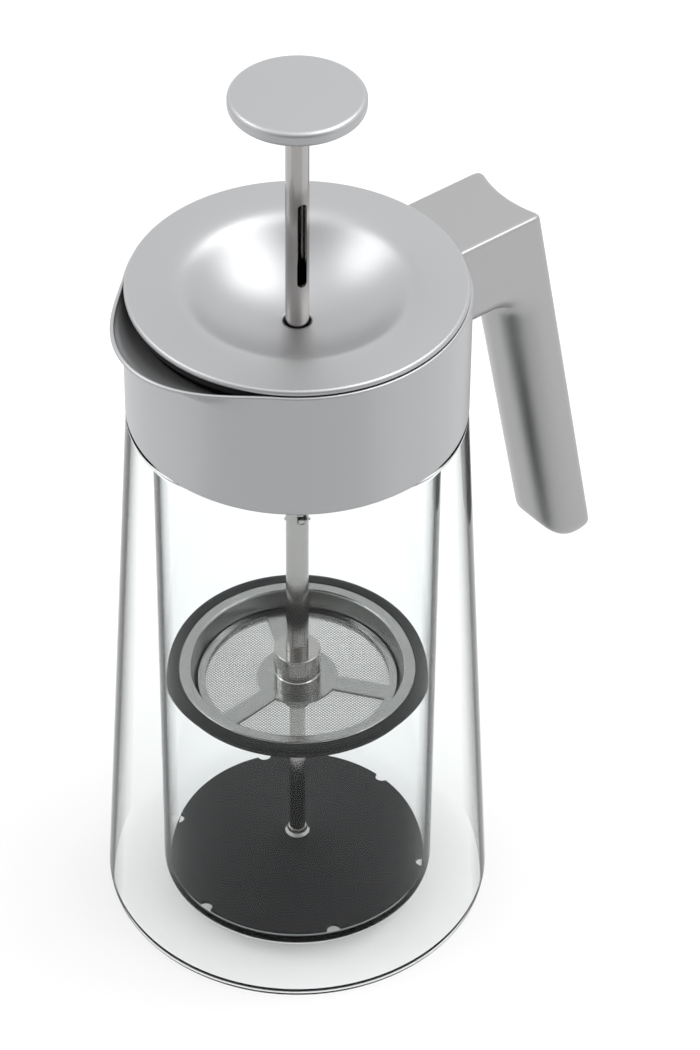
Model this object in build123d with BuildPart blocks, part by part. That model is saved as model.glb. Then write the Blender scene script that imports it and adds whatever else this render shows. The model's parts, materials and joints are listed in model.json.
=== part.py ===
"""Double-walled glass french press with a grounds-lifting disc.

Millimetres. Origin at the centre of the resting face, +Z up, handle along +X, spout along -X.
The plunger stands at the top of its stroke and the lifting disc lies on the beaker's floor.
"""
import math
import os

from build123d import *

CLEARANCE = 0.3             # between pieces that move past each other
TIGHT = 0.05                # radial gap of pieces that are screwed or pressed together

# Heights
LID_RIM_Z = 238.0           # top face of the lid's flat rim
COLLAR_TOP_Z = 235.9
COLLAR_BOTTOM_Z = 193.3
KNOB_TOP_Z = 304.4          # middle of the domed top
GLASS_RIM_Z = 224.0         # where the two glass walls run into the rounded rim
DISC_RIM_Z = 12.0           # top of the lifting disc at its rim
PLATE_TOP_Z = 85.2          # top of the spoked plate of the filter

# Glass
WALL = 1.8
BORE_R = 41.1               # inside of the inner vessel
INNER_FLOOR_Z = 7.7
INNER_BASE_Z = 6.0
OUTER_BASE_R = 61.05        # outer wall carried down to the resting face
OUTER_TOP_R = 50.6
SHOULDER_Z = 192.9
NECK_R = 47.6

# Collar and liner
COLLAR_R = 50.7
COLLAR_BORE_R = 49.3
SPOUT_START_Z = 228.0       # where the spout leaves the collar wall
SPOUT_REACH = 59.5
SPOUT_HALF_ANGLE = 46.0
LINER_TOP_Z = 229.0

# Handle
HANDLE_WIDTH = 29.0
HANDLE_TOP_Z = 233.5
HANDLE_TOP_X = 81.2
HANDLE_UNDERSIDE_Z = 199.5
HANDLE_LEAN = 0.2053        # outward run of the grip for each unit of drop
HANDLE_DEPTH = 15.4
GRIP_BOTTOM_Z = 93.0        # at the back of the grip
GRIP_ROUNDING = 12.0        # long edges that the fingers close round
GRIP_HOLLOW = 3.0           # depth of the hollow down the back of the grip
SCREW_R = 2.0
SCREW_HEIGHTS = (211.0, 222.0)

# Lid
LID_R = 50.0
LID_EDGE = 1.6              # height of the rounded edge
SHEET = 1.2
DISH_R = 33.0
DISH_DEPTH = 13.7
SKIRT_R = 46.1
SKIRT_BOTTOM_Z = 229.4

# Plunger tube and lifter rod
TUBE_R = 3.5
TUBE_BORE_R = 2.58
TUBE_BOTTOM_Z = 76.0
TUBE_TOP_Z = 297.0
ROD_R = 2.5
ROD_TOP_Z = 158.0
SLOT_WIDTH = 3.0
SLOT_ANGLE = -103.0         # direction that both slots face
DRAIN_SLOT = (238.6, 268.0)
PIN_R = 1.2
PRESS_TRAVEL = 54.0
GUIDE_SLOT_BOTTOM_Z = 149.6
PIN_Z = GUIDE_SLOT_BOTTOM_Z + PIN_R + 0.1
GUIDE_SLOT = (GUIDE_SLOT_BOTTOM_Z, PIN_Z + PRESS_TRAVEL + PIN_R + CLEARANCE)

# Knob
KNOB_R = 19.7
KNOB_EDGE = 4.5             # height of the side, with its rounded edges
KNOB_CROWN = 0.5            # how far the top rises to its middle

# Filter
HUB_R = 7.2
HUB_TOP_Z = 96.6
PLATE_R = 31.0
WINDOW_R = (12.5, 28.8)     # inner and outer radius of the plate's three windows
SPOKE_WIDTH = 6.0
SPOKE_ANGLES = (-174.0, -54.0, 66.0)
PAN_R = 36.9
PAN_TOP_Z = 91.0
SEAL_R = BORE_R - CLEARANCE

# Lifting disc
DISC_R = 40.75
DISC_THICKNESS = 1.3
DISC_RISE = 4.5             # the disc is a shallow cone, higher in the middle
NOTCH_COUNT = 6
NOTCH_R = 2.2
NOTCH_START = 8.0


def turned(points, rounds=()):
    """Revolve a closed outline of (radius, height) points; rounds holds (point index, radius)."""
    with BuildPart() as piece:
        with BuildSketch(Plane.XZ) as profile:
            with BuildLine():
                Polyline(*points, close=True)
            make_face()
            for index, radius in rounds:
                corner = Vector(*points[index])
                fillet(profile.vertices().sort_by_distance(corner)[0], radius)
        revolve(axis=Axis.Z)
    return piece


def at_angle(radius, degrees):
    """A point of the XY plane in polar form."""
    angle = math.radians(degrees)
    return (radius * math.cos(angle), radius * math.sin(angle))


# ---------------------------------------------------------------- glass beaker
# Two blown walls, fused along one rounded rim that both of them reach at GLASS_RIM_Z.
rim_centre_r = (BORE_R + NECK_R) / 2
rim_r = (NECK_R - BORE_R) / 2
floor_corner = 2.2
base_corner = 4.0

with BuildPart() as inner_glass:
    with BuildSketch(Plane.XZ):
        with BuildLine():
            wall_r = BORE_R + WALL
            Line((0, INNER_BASE_Z), (wall_r - base_corner, INNER_BASE_Z))
            CenterArc((wall_r - base_corner, INNER_BASE_Z + base_corner), base_corner, -90, 90)
            Line((wall_r, INNER_BASE_Z + base_corner), (wall_r, GLASS_RIM_Z))
            CenterArc((rim_centre_r, GLASS_RIM_Z), rim_r - WALL, 0, 180)
            Line((NECK_R - WALL, GLASS_RIM_Z), (NECK_R, GLASS_RIM_Z))
            CenterArc((rim_centre_r, GLASS_RIM_Z), rim_r, 0, 180)
            Line((BORE_R, GLASS_RIM_Z), (BORE_R, INNER_FLOOR_Z + floor_corner))
            CenterArc((BORE_R - floor_corner, INNER_FLOOR_Z + floor_corner), floor_corner, -90, 90)
            Line((BORE_R - floor_corner, INNER_FLOOR_Z), (0, INNER_FLOOR_Z))
            Line((0, INNER_FLOOR_Z), (0, INNER_BASE_Z))
        make_face()
    revolve(axis=Axis.Z)

outer_glass = turned(
    [(0, 0), (OUTER_BASE_R, 0), (OUTER_TOP_R, SHOULDER_Z), (NECK_R, SHOULDER_Z),
     (NECK_R, GLASS_RIM_Z), (NECK_R - WALL, GLASS_RIM_Z), (NECK_R - WALL, SHOULDER_Z - WALL),
     (OUTER_TOP_R - WALL, SHOULDER_Z - WALL), (OUTER_BASE_R - WALL, WALL), (0, WALL)],
    rounds=[(1, 5.0), (8, 3.5), (2, 1.2), (3, 0.8), (6, 0.8), (7, 0.8)],
)

# ---------------------------------------------------------------- collar and liner
# The silicone liner grips the glass neck and folds over the rim; screw heads stand in two pockets.
head_r = 3.5
head_height = 1.2
liner_inner_r = NECK_R + 0.1
liner_outer_r = COLLAR_BORE_R - 0.1
flange_underside = LINER_TOP_Z - 1.5

collar_liner = turned(
    [(liner_inner_r, 196.0), (liner_outer_r, 196.0), (liner_outer_r, LINER_TOP_Z),
     (BORE_R + 0.5, LINER_TOP_Z), (BORE_R + 0.5, flange_underside), (liner_inner_r, flange_underside)],
    rounds=[(3, 0.5)],
)
with collar_liner:
    for height in SCREW_HEIGHTS:
        with Locations(Plane((45, 0, height), z_dir=(1, 0, 0))):
            Cylinder(head_r + 1, 10, mode=Mode.SUBTRACT)


def collar_outline(wall, reach):
    """Rim outline: a round wall with a bell-shaped spout towards -X."""
    start = at_angle(wall, 180 - SPOUT_HALF_ANGLE)
    end = at_angle(wall, 180 + SPOUT_HALF_ANGLE)
    swell = (reach - wall) / (SPOUT_REACH - COLLAR_R)
    with BuildLine() as outline:
        ThreePointArc(end, (wall, 0), start)
        flank = at_angle(wall + 3.6 * swell, 180 - 25)
        Spline(
            start, flank, (-reach, 0), (flank[0], -flank[1]), end,
            tangents=[(-start[1], start[0]), (-end[1], end[0])],
        )
    return outline.wires()[0]


def collar_circle(wall):
    """The same outline with no spout, split at the same two places."""
    start = at_angle(wall, 180 - SPOUT_HALF_ANGLE)
    end = at_angle(wall, 180 + SPOUT_HALF_ANGLE)
    with BuildLine() as outline:
        ThreePointArc(end, (wall, 0), start)
        ThreePointArc(start, (-wall, 0), end)
    return outline.wires()[0]


collar_wall = COLLAR_R - COLLAR_BORE_R
inner_start_z = SPOUT_START_Z + collar_wall
ledge_r = SKIRT_R + 0.4     # the collar turns in over the liner, close to the lid's skirt
ledge_height = 0.8

with BuildPart() as collar:
    with BuildSketch(Plane.XY.offset(COLLAR_BOTTOM_Z)):
        Circle(COLLAR_R)
    extrude(amount=SPOUT_START_Z - COLLAR_BOTTOM_Z)
    with BuildSketch(Plane.XY.offset(SPOUT_START_Z)):
        make_face(collar_circle(COLLAR_R))
    with BuildSketch(Plane.XY.offset(COLLAR_TOP_Z)):
        make_face(collar_outline(COLLAR_R, SPOUT_REACH))
    loft(ruled=True)
    with BuildSketch(Plane.XY.offset(COLLAR_BOTTOM_Z)):
        Circle(COLLAR_BORE_R)
    extrude(amount=inner_start_z - COLLAR_BOTTOM_Z, mode=Mode.SUBTRACT)
    with BuildSketch(Plane.XY.offset(inner_start_z)):
        make_face(collar_circle(COLLAR_BORE_R))
    with BuildSketch(Plane.XY.offset(COLLAR_TOP_Z)):
        make_face(collar_outline(COLLAR_BORE_R, SPOUT_REACH - collar_wall))
    loft(ruled=True, mode=Mode.SUBTRACT)
    with BuildSketch(Plane.XY.offset(LINER_TOP_Z + 0.1)):
        Circle(COLLAR_BORE_R + 0.2)
        Circle(ledge_r, mode=Mode.SUBTRACT)
    extrude(amount=ledge_height)
    for height in SCREW_HEIGHTS:
        with Locations(Plane((COLLAR_R, 0, height), z_dir=(1, 0, 0))):
            Cylinder(SCREW_R + TIGHT, 6, mode=Mode.SUBTRACT)

# ---------------------------------------------------------------- handle
# A side outline of the arm and the leaning grip, hollowed down its back and rounded inside.
grip_axis = Vector(HANDLE_LEAN, 0, -1).normalized()
hollow_r = ((HANDLE_WIDTH / 2) ** 2 + GRIP_HOLLOW ** 2) / (2 * GRIP_HOLLOW)
hollow_axis_x = HANDLE_TOP_X + (hollow_r - GRIP_HOLLOW) * math.hypot(1, HANDLE_LEAN)
inside_r = COLLAR_R - 3     # the arm starts inside the collar's outline and is cut back to it
underarm_r = 9.0
back_edge_r = 1.6
heel_r = 5.0                # lower corner at the back of the grip
toe_r = 8.0                 # lower corner on the finger side
end_r = 7.0                 # lower corners seen from behind


def back_x(height):
    """Outer edge of the grip at a height."""
    return HANDLE_TOP_X + HANDLE_LEAN * (HANDLE_TOP_Z - height)


heel = (back_x(GRIP_BOTTOM_Z), GRIP_BOTTOM_Z)
toe = (heel[0] - HANDLE_DEPTH, GRIP_BOTTOM_Z + HANDLE_LEAN * HANDLE_DEPTH)
underarm = (back_x(HANDLE_UNDERSIDE_Z) - HANDLE_DEPTH, HANDLE_UNDERSIDE_Z)
toe_point = (toe[0], 0, toe[1])


def handle_side(rounds):
    """Side outline of the arm and the grip; rounds holds (corner, radius)."""
    with BuildSketch(Plane.XZ) as side:
        with BuildLine():
            Polyline(
                (inside_r, HANDLE_TOP_Z), (HANDLE_TOP_X, HANDLE_TOP_Z), heel,
                toe, underarm, (inside_r, HANDLE_UNDERSIDE_Z), close=True,
            )
        make_face()
        for corner, radius in rounds:
            fillet(side.vertices().sort_by_distance(Vector(*corner))[0], radius)
    return side.sketch


def on_flank(edge):
    """True for an edge of the handle's flat flanks, below the arm's top."""
    middle = edge.center()
    return abs(abs(middle.Y) - HANDLE_WIDTH / 2) < 0.01 and middle.Z < HANDLE_TOP_Z - 1


with BuildPart() as end_block:
    with Locations(Plane((heel[0], 0, heel[1]), x_dir=(0, 1, 0), z_dir=-grip_axis)):
        Box(HANDLE_WIDTH, 300, 300, align=(Align.CENTER, Align.CENTER, Align.MIN))
    lower_edges = end_block.edges().filter_by(
        lambda e: abs(e.center().Y) > 1 and (e.center() - Vector(*toe_point)).dot(grip_axis) > -1
    )
    fillet(lower_edges, end_r)

with BuildPart() as handle:
    extrude(handle_side([(underarm, underarm_r)]), amount=HANDLE_WIDTH / 2, both=True)
    with Locations(Plane((hollow_axis_x, 0, HANDLE_TOP_Z), z_dir=grip_axis)):
        Cylinder(hollow_r, 400, mode=Mode.SUBTRACT)
    finger_edges = handle.edges().filter_by(on_flank).filter_by(
        lambda e: inside_r < e.center().X < back_x(e.center().Z) - HANDLE_DEPTH / 2 - 1
        and e.center().Z > GRIP_BOTTOM_Z + 10
    )
    fillet(finger_edges, GRIP_ROUNDING)
    back_edges = handle.edges().filter_by(on_flank).filter_by(
        lambda e: e.center().X > back_x(e.center().Z) - 1
    )
    fillet(back_edges, back_edge_r)
    rounded_end = handle_side([(heel, heel_r), (toe, toe_r)])
    extrude(rounded_end, amount=HANDLE_WIDTH, both=True, mode=Mode.INTERSECT)
    add(end_block.part, mode=Mode.INTERSECT)
    with Locations((0, 0, (HANDLE_UNDERSIDE_Z + HANDLE_TOP_Z) / 2)):
        Cylinder(COLLAR_R + TIGHT, 60, mode=Mode.SUBTRACT)
    for height in SCREW_HEIGHTS:
        with Locations(Plane((COLLAR_R + 6, 0, height), z_dir=(1, 0, 0))):
            Cylinder(SCREW_R + TIGHT, 16, mode=Mode.SUBTRACT)

with BuildPart() as handle_screws:
    for height in SCREW_HEIGHTS:
        with Locations(Plane((COLLAR_BORE_R - 0.2, 0, height), z_dir=(1, 0, 0))):
            Cylinder(SCREW_R, 14, align=(Align.CENTER, Align.CENTER, Align.MIN))
        with Locations(Plane((COLLAR_BORE_R - 0.15, 0, height), z_dir=(-1, 0, 0))):
            Cylinder(head_r, head_height, align=(Align.CENTER, Align.CENTER, Align.MIN))

# ---------------------------------------------------------------- lid
# The dished cover sits on the pan, and the bush and its nut clamp the pan's middle.
cover_hole_r = 4.1
bush_hole_r = 5.0
bowl_r = (DISH_R ** 2 + DISH_DEPTH ** 2) / (2 * DISH_DEPTH)
bowl_centre_z = LID_RIM_Z - DISH_DEPTH + bowl_r
brow_r = 4.5                # soft edge where the flat rim turns down into the dish


def bowl_height(radius, drop):
    """Height of the round dish at a radius; drop is 0 on top and the sheet's thickness below."""
    return bowl_centre_z - math.sqrt((bowl_r + drop) ** 2 - radius ** 2)


under_dish_r = math.sqrt((bowl_r + SHEET) ** 2 - (bowl_centre_z - LID_RIM_Z + SHEET) ** 2)

with BuildPart() as lid_cover:
    with BuildSketch(Plane.XZ) as section:
        with BuildLine():
            dish_top = ThreePointArc(
                (cover_hole_r, bowl_height(cover_hole_r, 0)),
                (DISH_R / 2, bowl_height(DISH_R / 2, 0)),
                (DISH_R, LID_RIM_Z),
            )
            Polyline(
                dish_top @ 1,
                (LID_R, LID_RIM_Z),
                (LID_R, LID_RIM_Z - LID_EDGE),
                (LID_R - 1.6, LID_RIM_Z - LID_EDGE),
                (LID_R - 1.6, LID_RIM_Z - SHEET),
                (under_dish_r, LID_RIM_Z - SHEET),
            )
            dish_under = ThreePointArc(
                (under_dish_r, LID_RIM_Z - SHEET),
                (DISH_R / 2, bowl_height(DISH_R / 2, SHEET)),
                (cover_hole_r, bowl_height(cover_hole_r, SHEET)),
            )
            Line(dish_under @ 1, dish_top @ 0)
        make_face()
        for corner, radius in (
            ((LID_R, LID_RIM_Z), 1.1),
            ((LID_R, LID_RIM_Z - LID_EDGE), 0.4),
            ((DISH_R, LID_RIM_Z), brow_r),
            ((under_dish_r, LID_RIM_Z - SHEET), brow_r + SHEET),
        ):
            fillet(section.vertices().sort_by_distance(Vector(*corner))[0], radius)
    revolve(axis=Axis.Z)

pan_top_z = LID_RIM_Z - SHEET - 0.1
pan_bottom_z = 219.5
lid_pan = turned(
    [(bush_hole_r, pan_bottom_z), (24, pan_bottom_z), (39.5, 231.0), (44.9, 231.0),
     (44.9, pan_top_z), (43.9, pan_top_z), (43.9, 232.0), (39.0, 232.0),
     (23.5, pan_bottom_z + 1), (bush_hole_r, pan_bottom_z + 1)],
    rounds=[(1, 3.0), (8, 2.0), (3, 0.4)],
)

skirt_wall = 1.0
slot_pitch = 4.2            # degrees between the strainer's slots
slots_each_side = 12
strainer_slot = (2.8, 1.2)
strainer_slot_z = 231.9

with BuildPart() as lid_strainer:
    with BuildSketch(Plane.XY.offset(SKIRT_BOTTOM_Z)):
        Circle(SKIRT_R)
        Circle(SKIRT_R - skirt_wall, mode=Mode.SUBTRACT)
    extrude(amount=pan_top_z - SKIRT_BOTTOM_Z)
    for number in range(-slots_each_side, slots_each_side):
        spot = at_angle(SKIRT_R + 1, 180 + (number + 0.5) * slot_pitch)
        outward = (spot[0], spot[1], 0)
        with BuildSketch(Plane((spot[0], spot[1], strainer_slot_z), x_dir=(0, 0, 1), z_dir=outward)):
            SlotOverall(*strainer_slot)
        extrude(amount=-4, mode=Mode.SUBTRACT)

# The gasket sits round the skirt, just inside the collar's bore, and the lid's rim turns on it.
gasket_top_z = LID_RIM_Z - SHEET - CLEARANCE
gasket_r = COLLAR_BORE_R - CLEARANCE
lid_gasket = turned(
    [(SKIRT_R + CLEARANCE, 233.2), (gasket_r - 0.6, 233.2), (gasket_r, 233.8),
     (gasket_r, COLLAR_TOP_Z), (LID_R - 2.5, gasket_top_z), (SKIRT_R + CLEARANCE, gasket_top_z)],
)

bush_bore_r = TUBE_R + 0.06
bush_top_z = bowl_height(0, SHEET) - TIGHT
thread_r = bush_hole_r - TIGHT
flange_z = pan_bottom_z + 1 + TIGHT
lid_bush = turned(
    [(bush_bore_r, 213.0), (thread_r, 213.0), (thread_r, flange_z), (7.5, flange_z),
     (7.5, bush_top_z), (bush_bore_r, bush_top_z)],
)
bush_nut = turned(
    [(bush_hole_r, 214.5), (8.5, 214.5), (8.5, pan_bottom_z - 0.05), (bush_hole_r, pan_bottom_z - 0.05)],
    rounds=[(1, 0.6)],
)

# ---------------------------------------------------------------- plunger tube and knob


def slot_cutter(low, high):
    """A round-ended slot through the tube wall on the side that the slots face."""
    outward = at_angle(1, SLOT_ANGLE)
    plane = Plane((0, 0, (low + high) / 2), x_dir=(0, 0, 1), z_dir=(outward[0], outward[1], 0))
    with BuildPart() as cutter:
        with BuildSketch(plane):
            SlotOverall(high - low, SLOT_WIDTH)
        extrude(amount=TUBE_R + 2)
    return cutter.part


drain_cutter = slot_cutter(*DRAIN_SLOT)
guide_cutter = slot_cutter(*GUIDE_SLOT)

with BuildPart() as plunger_tube:
    with BuildSketch(Plane.XY.offset(TUBE_BOTTOM_Z)):
        Circle(TUBE_R)
        Circle(TUBE_BORE_R, mode=Mode.SUBTRACT)
    extrude(amount=TUBE_TOP_Z - TUBE_BOTTOM_Z)
    add(drain_cutter, mode=Mode.SUBTRACT)
    add(guide_cutter, mode=Mode.SUBTRACT)

knob_side_top_z = KNOB_TOP_Z - KNOB_CROWN
knob_bottom_z = knob_side_top_z - KNOB_EDGE
knob_edge_r = 1.6
knob_sheet = 1.8            # thickness of the top above the stud
socket_r = 6.0
socket_bottom_z = 291.0
stud_r = 2.5

with BuildPart() as knob:
    with BuildSketch(Plane.XZ) as knob_section:
        with BuildLine():
            ThreePointArc(
                (0, KNOB_TOP_Z),
                (KNOB_R / 2, KNOB_TOP_Z - KNOB_CROWN / 4),
                (KNOB_R, knob_side_top_z),
            )
            Polyline(
                (KNOB_R, knob_side_top_z), (KNOB_R, knob_bottom_z), (socket_r, knob_bottom_z),
                (socket_r, socket_bottom_z), (TUBE_R + TIGHT, socket_bottom_z),
                (TUBE_R + TIGHT, TUBE_TOP_Z + 0.1), (stud_r + TIGHT, TUBE_TOP_Z + 0.1),
                (stud_r + TIGHT, KNOB_TOP_Z - knob_sheet), (0, KNOB_TOP_Z - knob_sheet),
                (0, KNOB_TOP_Z),
            )
        make_face()
        for corner, radius in (
            ((KNOB_R, knob_side_top_z), knob_edge_r),
            ((KNOB_R, knob_bottom_z), knob_edge_r),
            ((socket_r, knob_bottom_z), 1.0),
            ((socket_r, socket_bottom_z), 0.8),
        ):
            fillet(knob_section.vertices().sort_by_distance(Vector(*corner))[0], radius)
    revolve(axis=Axis.Z)

stud_top_z = KNOB_TOP_Z - knob_sheet - 0.1
knob_stud = turned(
    [(0, 283.0), (stud_r, 283.0), (stud_r, stud_top_z), (0, stud_top_z)],
)

# ---------------------------------------------------------------- filter
# Hub above and tapered nut below, screwed on the tube, squeeze plate, screen and pan together.
plate_bottom_z = PLATE_TOP_Z - 1.0
screen_bottom_z = plate_bottom_z - 0.5
pan_floor_z = screen_bottom_z - 0.9
groove_z = 88.0

filter_hub = turned(
    [(TUBE_R + TIGHT, PLATE_TOP_Z + TIGHT), (HUB_R, PLATE_TOP_Z + TIGHT), (HUB_R, groove_z - 0.3),
     (HUB_R - 0.4, groove_z), (HUB_R, groove_z + 0.3), (HUB_R, HUB_TOP_Z), (TUBE_R + TIGHT, HUB_TOP_Z)],
    rounds=[(5, 0.5)],
)

with BuildPart() as spoke_plate:
    with BuildSketch(Plane.XY.offset(plate_bottom_z)):
        Circle(PLATE_R)
        Circle(WINDOW_R[1], mode=Mode.SUBTRACT)
        Circle(WINDOW_R[0])
        with PolarLocations(0, len(SPOKE_ANGLES), start_angle=SPOKE_ANGLES[0]):
            with Locations((PLATE_R / 2, 0)):
                Rectangle(PLATE_R - 1, SPOKE_WIDTH)
        Circle(TUBE_R + TIGHT, mode=Mode.SUBTRACT)
    extrude(amount=PLATE_TOP_Z - plate_bottom_z)

with BuildPart() as mesh_screen:
    with BuildSketch(Plane.XY.offset(screen_bottom_z + TIGHT)):
        Circle(PLATE_R)
        Circle(TUBE_R + TIGHT, mode=Mode.SUBTRACT)
    extrude(amount=0.4)

filter_pan = turned(
    [(WINDOW_R[1], pan_floor_z), (31.9, pan_floor_z), (34.0, PAN_TOP_Z - 0.8),
     (PAN_R - 0.9, PAN_TOP_Z - 0.8), (PAN_R - 0.9, 87.0), (PAN_R, 87.0), (PAN_R, PAN_TOP_Z),
     (33.2, PAN_TOP_Z), (31.2, screen_bottom_z), (WINDOW_R[1], screen_bottom_z)],
    rounds=[(6, 0.5), (7, 0.8), (8, 0.5)],
)
filter_seal = turned(
    [(PAN_R + TIGHT, 86.6), (38.6, 86.6), (39.0, 89.0), (SEAL_R, 89.9), (SEAL_R, 90.7),
     (39.4, PAN_TOP_Z), (PAN_R + TIGHT, PAN_TOP_Z)],
    rounds=[(3, 0.3), (4, 0.3)],
)

nut_bottom_z = 73.9
taper_nut = turned(
    [(ROD_R + 0.1, nut_bottom_z), (3.9, nut_bottom_z), (HUB_R - 0.2, 81.5),
     (HUB_R - 0.2, screen_bottom_z), (TUBE_R + TIGHT, screen_bottom_z),
     (TUBE_R + TIGHT, TUBE_BOTTOM_Z - 0.1), (ROD_R + 0.1, TUBE_BOTTOM_Z - 0.1)],
    rounds=[(1, 0.5), (2, 2.0)],
)

# ---------------------------------------------------------------- lifter
spigot_r = 1.5
pin_bore_r = PIN_R + 0.03
boss_r = 4.5                # flat middle of the disc, under the ferrule
disc_top_z = DISC_RIM_Z + DISC_RISE
disc_rim_bottom_z = DISC_RIM_Z - DISC_THICKNESS
disc_bottom_z = disc_top_z - 2 * DISC_THICKNESS
ferrule_height = 2.6

with BuildPart() as lifter_rod:
    with BuildSketch(Plane.XY.offset(disc_top_z + 0.1)):
        Circle(ROD_R)
    extrude(amount=ROD_TOP_Z - disc_top_z - 0.1)
    chamfer(lifter_rod.edges().sort_by(Axis.Z)[-1], 0.5)
    with Locations((0, 0, disc_top_z)):
        Cylinder(spigot_r + 0.03, 8, align=(Align.CENTER, Align.CENTER, Align.MIN), mode=Mode.SUBTRACT)
    pin_direction = at_angle(1, SLOT_ANGLE)
    pin_plane = Plane((0, 0, PIN_Z), z_dir=(pin_direction[0], pin_direction[1], 0))
    with Locations(pin_plane):
        Cylinder(pin_bore_r, 8, mode=Mode.SUBTRACT)

with BuildPart() as guide_pin:
    with Locations(pin_plane.offset(-ROD_R + 0.4)):
        Cylinder(PIN_R, ROD_R + TUBE_R - 0.6, align=(Align.CENTER, Align.CENTER, Align.MIN))

with BuildPart() as grounds_disc:
    add(turned(
        [(spigot_r + 0.03, disc_top_z), (boss_r, disc_top_z), (DISC_R, DISC_RIM_Z),
         (DISC_R, disc_rim_bottom_z), (boss_r + 2, disc_bottom_z), (3.2, disc_bottom_z),
         (spigot_r + 0.03, disc_bottom_z + 1.7)],
        rounds=[(1, 3.0), (2, 0.4), (3, 0.4)],
    ).part)
    with Locations((0, 0, DISC_RIM_Z)):
        with PolarLocations(DISC_R, NOTCH_COUNT, start_angle=NOTCH_START):
            Cylinder(NOTCH_R, 10, mode=Mode.SUBTRACT)

disc_ferrule = turned(
    [(ROD_R + 0.03, disc_top_z + TIGHT), (3.9, disc_top_z + TIGHT), (3.9, disc_top_z + 0.7),
     (3.1, disc_top_z + 1.5), (2.9, disc_top_z + ferrule_height),
     (ROD_R + 0.03, disc_top_z + ferrule_height)],
    rounds=[(3, 0.5)],
)
disc_screw = turned(
    [(0, disc_bottom_z + 0.1), (3.0, disc_bottom_z + 0.1), (spigot_r, disc_bottom_z + 1.6),
     (spigot_r, disc_top_z + 7.3), (0, disc_top_z + 7.3)],
)

# ---------------------------------------------------------------- output
pieces = {
    "inner_glass": inner_glass,
    "outer_glass": outer_glass,
    "collar_liner": collar_liner,
    "collar": collar,
    "handle": handle,
    "handle_screws": handle_screws,
    "lid_gasket": lid_gasket,
    "lid_cover": lid_cover,
    "lid_pan": lid_pan,
    "lid_strainer": lid_strainer,
    "lid_bush": lid_bush,
    "bush_nut": bush_nut,
    "plunger_tube": plunger_tube,
    "knob": knob,
    "knob_stud": knob_stud,
    "filter_hub": filter_hub,
    "spoke_plate": spoke_plate,
    "mesh_screen": mesh_screen,
    "filter_pan": filter_pan,
    "filter_seal": filter_seal,
    "taper_nut": taper_nut,
    "lifter_rod": lifter_rod,
    "guide_pin": guide_pin,
    "grounds_disc": grounds_disc,
    "disc_ferrule": disc_ferrule,
    "disc_screw": disc_screw,
}
os.makedirs("parts", exist_ok=True)
for name, piece in pieces.items():
    piece.part.label = name
    export_step(piece.part, f"parts/{name}.step")
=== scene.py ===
import json
import math

import bpy
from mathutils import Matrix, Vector


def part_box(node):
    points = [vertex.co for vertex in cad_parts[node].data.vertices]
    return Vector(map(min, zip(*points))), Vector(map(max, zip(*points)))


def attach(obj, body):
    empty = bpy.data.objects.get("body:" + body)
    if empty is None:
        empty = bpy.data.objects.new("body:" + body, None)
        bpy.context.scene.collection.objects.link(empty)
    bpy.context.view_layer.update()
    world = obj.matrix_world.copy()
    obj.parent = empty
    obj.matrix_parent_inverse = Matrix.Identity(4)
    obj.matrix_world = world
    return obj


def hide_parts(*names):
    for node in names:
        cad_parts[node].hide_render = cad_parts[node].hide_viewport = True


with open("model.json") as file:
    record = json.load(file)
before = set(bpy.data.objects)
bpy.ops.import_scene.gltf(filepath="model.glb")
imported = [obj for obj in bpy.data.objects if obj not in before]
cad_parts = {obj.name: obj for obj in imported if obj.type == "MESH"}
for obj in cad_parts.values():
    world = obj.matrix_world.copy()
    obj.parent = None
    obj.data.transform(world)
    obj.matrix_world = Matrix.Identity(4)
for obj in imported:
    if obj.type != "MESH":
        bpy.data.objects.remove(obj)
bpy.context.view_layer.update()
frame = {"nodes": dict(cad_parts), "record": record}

MM = 0.001


def span(node):
    """Lowest and highest corner of a CAD node, in millimetres."""
    low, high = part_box(node)
    return low / MM, high / MM


glass_high = span("outer_glass")[1]
inner_low, inner_high = span("inner_glass")
collar_low, collar_high = span("collar")
lid_high = span("lid_cover")[1]

# ---------------------------------------------------------------- camera
# It stands in front of the spout side, looks down on the lid and keeps the axis left of centre.
CAMERA_TURN = math.radians(-38.0)       # round the object, from looking along +Y
CAMERA_PITCH = math.radians(41.05)
CAMERA_OUT = 944.7                      # from the axis
CAMERA_UP = 730.2                       # above the lid's rim
LENS = 142.2
SENSOR = 36.0
SHIFT = 0.0502


def around(distance, turn, height):
    """A point in millimetres, turn being measured round the axis from the camera's side."""
    angle = CAMERA_TURN + turn
    return Vector((math.sin(angle) * distance, -math.cos(angle) * distance, height))


camera_data = bpy.data.cameras.new("camera")
camera_data.lens = LENS
camera_data.sensor_width = SENSOR
camera_data.shift_x = SHIFT
camera = bpy.data.objects.new("camera", camera_data)
camera.location = around(CAMERA_OUT, 0.0, lid_high.z + CAMERA_UP) * MM
camera.rotation_euler = (math.pi / 2 - CAMERA_PITCH, 0.0, CAMERA_TURN)
bpy.context.scene.collection.objects.link(camera)
bpy.context.scene.camera = camera

# ---------------------------------------------------------------- node helpers


def new_material(name):
    """A node material: itself, its tree, its principled shader."""
    material = bpy.data.materials.new(name)
    material.use_nodes = True
    tree = material.node_tree
    return material, tree, tree.nodes["Principled BSDF"]


def add_node(tree, kind, inputs=None, **settings):
    """A node with some of its own settings and its sockets' plain values."""
    node = tree.nodes.new(kind)
    for key, value in settings.items():
        setattr(node, key, value)
    for key, value in (inputs or {}).items():
        node.inputs[key].default_value = value
    return node


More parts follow.
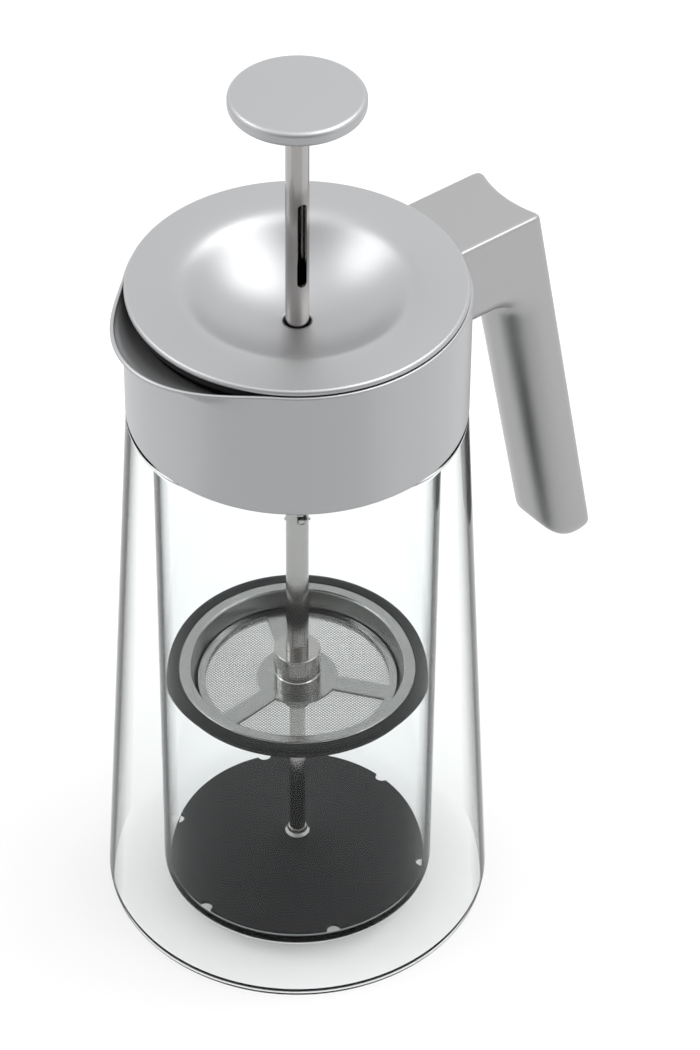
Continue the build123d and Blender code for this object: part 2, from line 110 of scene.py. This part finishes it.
# ---------------------------------------------------------------- studio
# A pale floor under a bright ceiling, with a broad softbox on the right and a smaller one on the left.
bpy.context.scene.view_settings.view_transform = "Standard"
LAMP_TARGET = Vector((0.0, 0.0, 230.0))
CEILING = ((0.0, 0.85), (0.35, 0.85), (0.6, 0.70), (0.8, 0.80), (1.0, 1.0))  # height, brightness
CEILING_LEVEL = 1.5
FRONT_WALL = 0.25                       # brightness of the walls in front, as a share of the rest
FLOOR_REACH = 6.0                       # metres from the axis
FLOOR_DROP = 0.0002                     # metres below the object's foot
FLOOR_ALBEDO = 0.6
FLOOR_GLOW = 0.25
FLAG_ALBEDO = 0.62
FLAG_CORNERS = ((150, -75), (1100, -50), (1100, 40), (150, 60))     # distance, degrees of turn
FLAG_HEIGHT = 1.0


def studio_walls():
    """Walls and ceiling round the set: brightest overhead, darkest low down in front of the object."""
    world = bpy.data.worlds.new("studio")
    world.use_nodes = True
    tree = world.node_tree
    direction = add_node(tree, "ShaderNodeTexCoord")
    parts = add_node(tree, "ShaderNodeSeparateXYZ")
    tree.links.new(direction.outputs["Generated"], parts.inputs["Vector"])
    height = add_node(tree, "ShaderNodeValToRGB")
    stops = height.color_ramp.elements
    stops[1].position = CEILING[-1][0]
    stops[1].color = (*[CEILING[-1][1]] * 3, 1.0)
    stops[0].position = CEILING[0][0]
    stops[0].color = (*[CEILING[0][1]] * 3, 1.0)
    for position, value in CEILING[1:-1]:
        stops.new(position).color = (value, value, value, 1.0)
    tree.links.new(parts.outputs["Z"], height.inputs["Fac"])
    behind = -around(1.0, 0.0, 0.0)
    facing = add_node(tree, "ShaderNodeVectorMath", {1: behind}, operation="DOT_PRODUCT")
    tree.links.new(direction.outputs["Generated"], facing.inputs[0])
    shade = add_node(tree, "ShaderNodeMapRange", {
        "From Min": -0.9, "From Max": -0.4, "To Min": FRONT_WALL, "To Max": 1.0,
    })
    tree.links.new(facing.outputs["Value"], shade.inputs["Value"])
    both = add_node(tree, "ShaderNodeMath", operation="MULTIPLY")
    tree.links.new(height.outputs["Color"], both.inputs[0])
    tree.links.new(shade.outputs["Result"], both.inputs[1])
    level = add_node(tree, "ShaderNodeMath", {1: CEILING_LEVEL}, operation="MULTIPLY")
    tree.links.new(both.outputs["Value"], level.inputs[0])
    plain = add_node(tree, "ShaderNodeMix", {"B": 1.0}, data_type="FLOAT")
    path = add_node(tree, "ShaderNodeLightPath")
    tree.links.new(path.outputs["Is Camera Ray"], plain.inputs["Factor"])
    tree.links.new(level.outputs["Value"], plain.inputs["A"])
    background = tree.nodes["Background"]
    background.inputs["Color"].default_value = (1.0, 1.0, 1.0, 1.0)
    tree.links.new(plain.outputs["Result"], background.inputs["Strength"])
    bpy.context.scene.world = world


def softbox(name, turn, elevation, distance, width, height, radiance):
    """A rectangular lamp that faces the lid, of even brightness over its whole area."""
    light = bpy.data.lights.new(name, "AREA")
    light.shape = "RECTANGLE"
    light.size = width * MM
    light.size_y = height * MM
    light.energy = radiance * math.pi * width * height * MM * MM
    out = distance * math.cos(math.radians(elevation))
    up = LAMP_TARGET.z + distance * math.sin(math.radians(elevation))
    place = around(out, math.radians(turn), up)
    lamp = bpy.data.objects.new(name, light)
    lamp.location = place * MM
    lamp.rotation_euler = (LAMP_TARGET - place).to_track_quat("-Z", "Y").to_euler()
    bpy.context.scene.collection.objects.link(lamp)


def flat_sheet(name, corners, matte, albedo, glow=0.0):
    """A sheet between four corners in metres, of a matte material that can glow a little."""
    mesh = bpy.data.meshes.new(name)
    mesh.from_pydata(corners, [], [(0, 1, 2, 3)])
    sheet = bpy.data.objects.new(name, mesh)
    bpy.context.scene.collection.objects.link(sheet)
    material, _, shader = new_material(matte)
    shader.inputs["Base Color"].default_value = (albedo, albedo, albedo, 1.0)
    shader.inputs["Roughness"].default_value = 0.9
    shader.inputs["Specular IOR Level"].default_value = 0.0
    shader.inputs["Emission Color"].default_value = (1.0, 1.0, 1.0, 1.0)
    shader.inputs["Emission Strength"].default_value = glow
    mesh.materials.append(material)
    return sheet


studio_walls()
softbox("right_softbox", 100, 62, 1300, 1200, 750, 3.0)
softbox("left_softbox", -102, 48, 1300, 620, 620, 3.0)

floor = flat_sheet("floor", [
    (-FLOOR_REACH, -FLOOR_REACH, 0), (FLOOR_REACH, -FLOOR_REACH, 0),
    (FLOOR_REACH, FLOOR_REACH, 0), (-FLOOR_REACH, FLOOR_REACH, 0),
], "paper", FLOOR_ALBEDO, FLOOR_GLOW)
floor.location.z = -FLOOR_DROP

# A grey flag lies in front of the set, below the view, so that only reflections show it.
flag = flat_sheet("front_flag", [
    around(out, math.radians(turn), FLAG_HEIGHT) * MM for out, turn in FLAG_CORNERS
], "felt", FLAG_ALBEDO)
for rays in ("visible_camera", "visible_diffuse", "visible_transmission", "visible_shadow"):
    setattr(flag, rays, False)

# ---------------------------------------------------------------- materials
METAL_BUMP = 0.4
SOFT_BUMP = 0.3
SOFT_SPECULAR = 0.22


def relief(tree, scale, height, strength, detail):
    """Noise, its scale per metre, and the bump it makes, its height in millimetres."""
    place = add_node(tree, "ShaderNodeTexCoord")
    noise = add_node(tree, "ShaderNodeTexNoise", {"Scale": scale, "Detail": detail})
    bump = add_node(tree, "ShaderNodeBump", {"Strength": strength, "Distance": height * MM})
    tree.links.new(place.outputs["Object"], noise.inputs["Vector"])
    tree.links.new(noise.outputs["Fac"], bump.inputs["Height"])
    return noise, bump


def surface(name, colour, roughness, grain, height, strength):
    """A material whose roughness wanders between two values with the grain of its relief."""
    material, tree, shader = new_material(name)
    shader.inputs["Base Color"].default_value = (*colour, 1.0)
    noise, bump = relief(tree, grain, height, strength, 4.0)
    tree.links.new(bump.outputs["Normal"], shader.inputs["Normal"])
    remap = add_node(tree, "ShaderNodeMapRange", {
        "From Min": 0.3, "From Max": 0.7, "To Min": roughness[0], "To Max": roughness[1],
    })
    tree.links.new(noise.outputs["Fac"], remap.inputs["Value"])
    tree.links.new(remap.outputs["Result"], shader.inputs["Roughness"])
    return material, shader


def metal(name, colour, roughness, grain, height, metallic=1.0):
    material, shader = surface(name, colour, roughness, grain, height, METAL_BUMP)
    shader.inputs["Metallic"].default_value = metallic
    return material


def soft(name, colour, roughness, grain, height):
    material, shader = surface(name, colour, roughness, grain, height, SOFT_BUMP)
    shader.inputs["Specular IOR Level"].default_value = SOFT_SPECULAR
    return material


def clear_glass():
    """Glass that bends light fully, mirrors a little and lets the lamps through to what it holds, with
    painted shade darkening what it lets through where it is seen edge-on.
    """
    material, tree, shader = new_material("clear_glass")
    tree.nodes.remove(shader)
    bump = relief(tree, 16.0, 0.1, 0.15, 1.0)[1]
    bend = add_node(tree, "ShaderNodeBsdfRefraction", {"Roughness": 0.0, "IOR": 1.47})
    mirror = add_node(tree, "ShaderNodeBsdfGlossy", {"Roughness": 0.0, "Color": (0.9, 0.9, 0.9, 1.0)})
    for part in (bend, mirror):
        tree.links.new(bump.outputs["Normal"], part.inputs["Normal"])
    # Painted shade: the light bent through the glass turns dark grey where the surface is seen edge-on,
    # standing in for the dark surroundings its edges would show.
    weight = add_node(tree, "ShaderNodeLayerWeight", {"Blend": 0.5})
    painted_edge_shade = add_node(tree, "ShaderNodeValToRGB")
    clear, edge = painted_edge_shade.color_ramp.elements
    clear.position = 0.72
    clear.color = (0.985, 0.99, 0.99, 1.0)
    edge.position = 1.0
    edge.color = (0.12, 0.13, 0.13, 1.0)
    tree.links.new(weight.outputs["Facing"], painted_edge_shade.inputs["Fac"])
    tree.links.new(painted_edge_shade.outputs["Color"], bend.inputs["Color"])
    share = add_node(tree, "ShaderNodeFresnel", {"IOR": 1.12})
    glass = add_node(tree, "ShaderNodeMixShader")
    tree.links.new(share.outputs["Fac"], glass.inputs["Fac"])
    tree.links.new(bend.outputs["BSDF"], glass.inputs[1])
    tree.links.new(mirror.outputs["BSDF"], glass.inputs[2])
    path = add_node(tree, "ShaderNodeLightPath")
    lamps = add_node(tree, "ShaderNodeMath", operation="MAXIMUM")
    tree.links.new(path.outputs["Is Shadow Ray"], lamps.inputs[0])
    tree.links.new(path.outputs["Is Diffuse Ray"], lamps.inputs[1])
    through = add_node(tree, "ShaderNodeBsdfTransparent", {"Color": (0.97, 0.97, 0.97, 1.0)})
    out = add_node(tree, "ShaderNodeMixShader")
    tree.links.new(lamps.outputs["Value"], out.inputs["Fac"])
    tree.links.new(glass.outputs["Shader"], out.inputs[1])
    tree.links.new(through.outputs["BSDF"], out.inputs[2])
    tree.links.new(out.outputs["Shader"], tree.nodes["Material Output"].inputs["Surface"])
    return material


LOOKS = {
    "clear_glass": clear_glass(),
    "satin_shell": metal("satin_shell", (0.40, 0.403, 0.41), (0.34, 0.40), 2600.0, 0.01, metallic=0.85),
    "satin_handle": metal("satin_handle", (0.375, 0.375, 0.38), (0.34, 0.40), 2600.0, 0.01),
    "polished_steel": metal("polished_steel", (0.38, 0.37, 0.36), (0.12, 0.16), 700.0, 0.0008),
    "pressed_steel": metal("pressed_steel", (0.32, 0.32, 0.315), (0.16, 0.22), 900.0, 0.001),
    "woven_steel": metal("woven_steel", (0.42, 0.42, 0.41), (0.16, 0.24), 900.0, 0.0005),
    "dark_silicone": soft("dark_silicone", (0.012, 0.012, 0.013), (0.60, 0.70), 1500.0, 0.001),
    "black_silicone": soft("black_silicone", (0.010, 0.010, 0.011), (0.45, 0.55), 1500.0, 0.001),
    "dark_plastic": soft("dark_plastic", (0.006, 0.006, 0.007), (0.45, 0.55), 1500.0, 0.0005),
}
slot_of = {row["node"]: row["material_slot"] for row in frame["record"]["subparts"]}
body_of = {node: body for body, nodes in frame["record"]["behaviour"]["bodies"].items() for node in nodes}

for node, piece in frame["nodes"].items():
    piece.data.materials.clear()
    piece.data.materials.append(LOOKS[slot_of[node]])

# ---------------------------------------------------------------- mesh helpers
# Outlines lie in a plane through the axis, as (radius, height).
CORNER_STEPS = 8
RIM_STEPS = 16


def rounded(corners):
    """A closed outline from (radius, height, rounding) corners, with an arc where there is a rounding."""
    outline = []
    for index, (x, y, rounding) in enumerate(corners):
        here = Vector((x, y))
        if rounding == 0:
            outline.append(here)
            continue
        back = (Vector(corners[index - 1][:2]) - here).normalized()
        ahead = (Vector(corners[(index + 1) % len(corners)][:2]) - here).normalized()
        half = back.angle(ahead) / 2
        centre = here + (back + ahead).normalized() * (rounding / math.sin(half))
        start = here + back * (rounding / math.tan(half)) - centre
        end = here + ahead * (rounding / math.tan(half)) - centre
        turn = math.atan2(start.x * end.y - start.y * end.x, start.dot(end))
        for step in range(CORNER_STEPS + 1):
            angle = turn * step / CORNER_STEPS
            cos, sin = math.cos(angle), math.sin(angle)
            outline.append(centre + Vector((start.x * cos - start.y * sin, start.x * sin + start.y * cos)))
    return outline


def half_ring(centre_r, height, radius):
    """Points over the top of a rounded rim, from its outside to its inside."""
    centre = Vector((centre_r, height))
    angles = [math.pi * step / RIM_STEPS for step in range(RIM_STEPS + 1)]
    return [centre + Vector((radius * math.cos(angle), radius * math.sin(angle))) for angle in angles]


def turned_point(point, angle):
    """A point of an outline at an angle round the axis, in metres."""
    return point.x * math.cos(angle) * MM, point.x * math.sin(angle) * MM, point.y * MM


def lathe(outlines, segments):
    """Vertices (metres) and faces of closed outlines turned round Z."""
    vertices, faces = [], []
    for outline in outlines:
        rings = []
        for point in outline:
            count = 1 if point.x < 1e-6 else segments
            rings.append(range(len(vertices), len(vertices) + count))
            vertices += [turned_point(point, 2 * math.pi * step / segments) for step in range(count)]
        for index, ring in enumerate(rings):
            after = rings[(index + 1) % len(rings)]
            if len(ring) == 1 and len(after) == 1:
                continue
            for segment in range(segments):
                following = (segment + 1) % segments
                corners = [ring[segment % len(ring)], ring[following % len(ring)],
                           after[following % len(after)], after[segment % len(after)]]
                faces.append(tuple(dict.fromkeys(corners)))
    return vertices, faces


def make_piece(name, vertices, faces, nodes):
    """A mesh piece that stands for CAD nodes, takes their slot and rides on their body."""
    mesh = bpy.data.meshes.new(name)
    mesh.from_pydata(vertices, [], faces)
    mesh.validate()
    for polygon in mesh.polygons:
        polygon.use_smooth = True
    piece = bpy.data.objects.new(name, mesh)
    bpy.context.scene.collection.objects.link(piece)
    weight = piece.modifiers.new("weighted_normals", "WEIGHTED_NORMAL")
    weight.keep_sharp = True
    mesh.materials.append(LOOKS[slot_of[nodes[0]]])
    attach(piece, body_of[nodes[0]])
    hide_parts(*nodes)
    return piece


# ---------------------------------------------------------------- glass
# One closed shell: its outside runs over the rim and down the chamber, and it holds a sealed cavity.
GLASS_WALL = 1.8
CHAMBER_FOOT = 1.8                      # extra thickness of glass under the brewing chamber
GLASS_SEGMENTS = 288
FOOT_ROUNDING = 5.0
SHOULDER_ROUNDING = 1.2
NECK_ROUNDING = 0.8
CHAMBER_ROUNDING = 0.9                  # small enough to pass under the disc's edge
bore_r = span("filter_seal")[1].x + 0.3
chamber_floor = span("grounds_disc")[0].z - 0.4
rim_z = glass_high.z
neck_r = inner_high.x
rim_centre = (bore_r + neck_r) / 2
rim_r = (neck_r - bore_r) / 2
collar_r = collar_high.y
shoulder_r = collar_r - 0.1
shoulder_z = collar_low.z - 0.4
foot_r = glass_high.x + 0.28            # where the leaning wall would meet the floor, unrounded


def beaker_glass():
    outside = rounded([
        (0, 0, 0), (foot_r, 0, FOOT_ROUNDING), (shoulder_r, shoulder_z, SHOULDER_ROUNDING),
        (neck_r, shoulder_z, NECK_ROUNDING), (neck_r, rim_z, 0),
    ])[:-1]
    outside += half_ring(rim_centre, rim_z, rim_r)
    outside += rounded([
        (bore_r, rim_z, 0), (bore_r, chamber_floor, CHAMBER_ROUNDING), (0, chamber_floor, 0),
    ])[1:]
    chamber_r = bore_r + GLASS_WALL
    chamber_z = inner_low.z - CHAMBER_FOOT
    cavity = rounded([
        (0, GLASS_WALL, 0), (foot_r - GLASS_WALL, GLASS_WALL, 3.5),
        (shoulder_r - GLASS_WALL, shoulder_z - GLASS_WALL, 0.8),
        (neck_r - GLASS_WALL, shoulder_z - GLASS_WALL, 0.8), (neck_r - GLASS_WALL, rim_z, 0),
    ])
    cavity += half_ring(rim_centre, rim_z, rim_r - GLASS_WALL)[1:]
    cavity += rounded([(chamber_r, rim_z, 0), (chamber_r, chamber_z, 6.0), (0, chamber_z, 0)])[1:]
    cavity.reverse()
    vertices, faces = lathe([outside, cavity], GLASS_SEGMENTS)
    return make_piece("beaker_glass", vertices, faces, ["inner_glass", "outer_glass"])


beaker_glass()

# ---------------------------------------------------------------- collar
# One sheet turned round the neck: its rim flares into the spout and rolls over in a soft bead.
SHEET_T = 1.4
COLLAR_SEGMENTS = 480
WALL_STEPS = 12
INSIDE_STEPS = 14
SPOUT_ANGLE = 92.0                      # degrees over which the rim swells
SPOUT_POINT = 1.85                      # how much the spout narrows towards its lip
SPOUT_FLARE = 1.5                       # how late the wall bends outward on its way up
LIP_DROP = 0.9                          # the spout's lip lies this much under the rim
spout_reach = -collar_low.x
rim_top_z = collar_high.z + 0.2
spout_foot_z = collar_high.z - 8.0
ledge_z = span("collar_liner")[1].z + 1.0
ledge_r = span("lid_strainer")[1].y + 0.45


def spout_share(degrees):
    """How far the spout has swelled at an angle from its middle, from 0 to 1."""
    if abs(degrees) >= SPOUT_ANGLE / 2:
        return 0.0
    return math.cos(math.pi * degrees / SPOUT_ANGLE) ** SPOUT_POINT


def collar_profile(share):
    """Outline of the collar's wall, from its lower bead round its rim and down its inside."""
    inner_r = collar_r - SHEET_T
    reach = (spout_reach - collar_r) * share
    bead = SHEET_T / 2
    lip_z = rim_top_z - LIP_DROP * share - bead
    points = [
        Vector((inner_r, collar_low.z + 0.3)), Vector((inner_r + 0.3, collar_low.z)),
        Vector((collar_r - 0.5, collar_low.z)), Vector((collar_r - 0.12, collar_low.z + 0.14)),
        Vector((collar_r, collar_low.z + 0.5)),
    ]
    for step in range(1, WALL_STEPS):
        up = step / WALL_STEPS
        points.append(Vector((collar_r, collar_low.z + (spout_foot_z - collar_low.z) * up)))
    for step in range(WALL_STEPS + 1):
        up = step / WALL_STEPS
        flared_r = collar_r + reach * up ** SPOUT_FLARE
        points.append(Vector((flared_r, spout_foot_z + (lip_z - spout_foot_z) * up)))
    rim = points[-1] - Vector((bead, 0))
    for step in range(1, WALL_STEPS):
        angle = math.pi * step / WALL_STEPS
        points.append(rim + Vector((math.cos(angle), math.sin(angle))) * bead)
    inside = rim - Vector((bead, 0))
    foot_inside_r = inner_r + (ledge_r - inner_r) * min(1.0, share * 4.0 + 0.001)
    for step in range(INSIDE_STEPS + 1):
        down = step / INSIDE_STEPS
        sag = math.sin(math.pi * down) * 0.05 * (inside.x - foot_inside_r)
        points.append(Vector((
            inside.x + (foot_inside_r - inside.x) * down ** 0.9,
            inside.y + (ledge_z - inside.y) * down - sag,
        )))
    points.append(Vector((foot_inside_r, ledge_z - 0.7)))
    points.append(Vector((inner_r, ledge_z - 0.8)))
    return points


def collar_shell():
    vertices, faces = [], []
    for segment in range(COLLAR_SEGMENTS):
        degrees = 360.0 * segment / COLLAR_SEGMENTS - 180.0
        angle = math.radians(180.0 + degrees)
        vertices += [turned_point(point, angle) for point in collar_profile(spout_share(degrees))]
    count = len(vertices) // COLLAR_SEGMENTS
    for segment in range(COLLAR_SEGMENTS):
        here = segment * count
        after = (segment + 1) % COLLAR_SEGMENTS * count
        for step in range(count):
            ahead = (step + 1) % count
            faces.append((here + step, after + step, after + ahead, here + ahead))
    return make_piece("collar_shell", vertices, faces, ["collar"])


collar_shell()

# ---------------------------------------------------------------- lid
# The pressed cover: a round dish that runs softly up into the flat rim, and a rounded edge.
LID_SEGMENTS = 256
DISH_R = 33.0
DISH_DEPTH = 13.7
DISH_STEPS = 60
BROW = 3.2                              # how softly the dish turns into the rim
COVER_T = 1.0
COVER_HOLE_R = 4.1
EDGE_T = 1.6                            # the turned-down edge, across and down


def cover_height(radius):
    """Height of the cover's top face at a radius, before the rim is brought up to the lid's top."""
    bowl_r = (DISH_R ** 2 + DISH_DEPTH ** 2) / (2 * DISH_DEPTH)
    below = DISH_DEPTH - bowl_r + math.sqrt(bowl_r ** 2 - min(radius, bowl_r * 0.95) ** 2)
    return lid_high.z - (below + math.sqrt(below ** 2 + BROW ** 2)) / 2


def lid_skin():
    edge_r = lid_high.x
    flat_r = edge_r - 1.2
    stops = [COVER_HOLE_R + (flat_r - COVER_HOLE_R) * step / DISH_STEPS for step in range(DISH_STEPS + 1)]
    lift = lid_high.z - cover_height(stops[-1])
    top = [Vector((radius, cover_height(radius) + lift * (radius / stops[-1]) ** 4)) for radius in stops]
    under = [Vector((point.x, point.y - COVER_T)) for point in reversed(top) if point.x < edge_r - 1.7]
    rim = rounded([
        (flat_r, lid_high.z, 0), (edge_r, lid_high.z, 1.1), (edge_r, lid_high.z - EDGE_T, 0.4),
        (edge_r - EDGE_T, lid_high.z - EDGE_T, 0), (edge_r - EDGE_T, lid_high.z - COVER_T, 0),
    ])[1:]
    vertices, faces = lathe([(top + rim + under)[::-1]], LID_SEGMENTS)
    return make_piece("lid_skin", vertices, faces, ["lid_cover"])


lid_skin()

# ---------------------------------------------------------------- handle
# The moulded handle's corners are softened all over, and its lower end is rounded off.
HANDLE_VOXEL = 0.5
GRIP_LEAN = 0.2053                      # how far the grip leans out for each step down
END_ROUNDING = 7.0
END_SHARE = 0.6                         # how much of a full round the end's sides take
EASE_STEPS = 36


def handle_grip():
    source = frame["nodes"]["handle"]
    rough = bpy.data.objects.new("rough", source.data.copy())
    rough.matrix_world = source.matrix_world
    bpy.context.scene.collection.objects.link(rough)
    voxels = rough.modifiers.new("voxels", "REMESH")
    voxels.mode = "VOXEL"
    voxels.voxel_size = HANDLE_VOXEL * MM
    graph = bpy.context.evaluated_depsgraph_get()
    fine = rough.evaluated_get(graph).to_mesh()
    spots = [rough.matrix_world @ vertex.co / MM for vertex in fine.vertices]
    faces = [tuple(polygon.vertices) for polygon in fine.polygons]
    bpy.data.objects.remove(rough)
    low, high = span("handle")
    width = high.y
    axis = Vector((GRIP_LEAN, 0.0, -1.0)).normalized()
    end = max(spot.dot(axis) for spot in spots)
    vertices = []
    for spot in spots:
        left = end - spot.dot(axis)
        if left < END_ROUNDING and spot.z < (low.z + high.z) / 2:
            inset = END_ROUNDING - math.sqrt(END_ROUNDING ** 2 - (END_ROUNDING - left) ** 2)
            spot.y *= (width - inset * END_SHARE) / width
        vertices.append(spot * MM)
    piece = make_piece("handle_grip", vertices, faces, ["handle"])
    ease = piece.modifiers.new("ease", "SMOOTH")
    ease.factor = 0.5
    ease.iterations = EASE_STEPS
    return piece


handle_grip()

# ---------------------------------------------------------------- screen
# Plain woven cloth of round wire, cut round and gripped under the spoked plate.
PITCH = 0.8
WIRE_R = 0.15
WIRE_SIDES = 5
SCREEN_R = 30.6
HUB_R = 5.0                             # the hole round the filter's hub
CLOTH_TURN = math.radians(45.0)         # from the camera's side


def wire_runs(offset):
    """Start and stop of each stretch of a wire that passes the middle at an offset."""
    half = math.sqrt(SCREEN_R ** 2 - offset ** 2)
    if abs(offset) >= HUB_R:
        return [(-half, half)]
    gap = math.sqrt(HUB_R ** 2 - offset ** 2)
    return [(-half, -gap), (gap, half)]


def add_wire(vertices, faces, base, along, side, run, sign):
    """A round wire that waves up and down along one stretch, with sign for the side it starts on."""
    start, stop = run
    steps = max(2, round((stop - start) / (PITCH / 2)))
    rings = []
    for step in range(steps + 1):
        reach = start + (stop - start) * step / steps
        lift = sign * math.cos(math.pi * reach / PITCH) * WIRE_R * 0.9
        centre = along * reach + base + Vector((0.0, 0.0, lift))
        rings.append(range(len(vertices), len(vertices) + WIRE_SIDES))
        for corner in range(WIRE_SIDES):
            angle = 2 * math.pi * corner / WIRE_SIDES
            edge = side * math.cos(angle) * WIRE_R + Vector((0.0, 0.0, math.sin(angle) * WIRE_R))
            vertices.append((centre + edge) * MM)
    for ring, after in zip(rings, rings[1:]):
        for corner in range(WIRE_SIDES):
            following = (corner + 1) % WIRE_SIDES
            faces.append((ring[corner], ring[following], after[following], after[corner]))
    faces.append(tuple(reversed(rings[0])))
    faces.append(tuple(rings[-1]))


def woven_screen():
    low, high = span("mesh_screen")
    middle = Vector((0.0, 0.0, (low.z + high.z) / 2))
    vertices, faces = [], []
    count = int(SCREEN_R / PITCH)
    for across in (0, 1):
        heading = CAMERA_TURN + CLOTH_TURN + across * math.pi / 2
        along = Vector((math.cos(heading), math.sin(heading), 0.0))
        side = Vector((-along.y, along.x, 0.0))
        for number in range(-count, count + 1):
            sign = -1 if (number + across) % 2 else 1
            for run in wire_runs(number * PITCH):
                add_wire(vertices, faces, side * (number * PITCH) + middle, along, side, run, sign)
    return make_piece("woven_screen", vertices, faces, ["mesh_screen"])


woven_screen()
